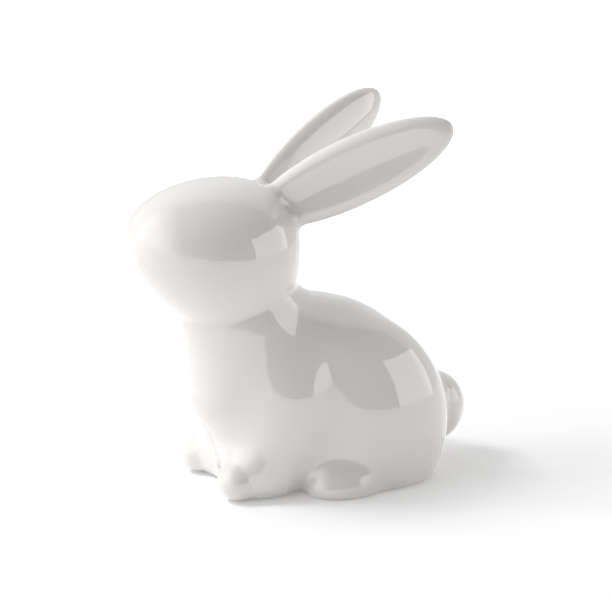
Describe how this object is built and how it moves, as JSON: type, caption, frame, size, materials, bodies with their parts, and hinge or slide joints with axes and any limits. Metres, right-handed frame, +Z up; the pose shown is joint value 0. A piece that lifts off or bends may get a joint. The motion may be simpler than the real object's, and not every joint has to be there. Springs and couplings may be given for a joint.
{
  "type": "rabbit figurine",
  "caption": "Glossy white ceramic rabbit figurine, sitting, long ears swept back, rounded tail, plain face.",
  "frame": {"origin": "bottom centre of the figurine's bounding box, on the surface it stands on", "axes": "+Z up, nose towards -Y, the rabbit's left side towards +X"},
  "size_m": [0.0576, 0.1056, 0.1092],
  "materials": {
    "glaze": "gloss"
  },
  "bodies": {
    "root": {"torso": "glaze", "head": "glaze", "left_ear": "glaze", "right_ear": "glaze", "left_foreleg": "glaze", "right_foreleg": "glaze", "left_hind_foot": "glaze", "right_hind_foot": "glaze", "tail": "glaze"}
  },
  "joints": []
}
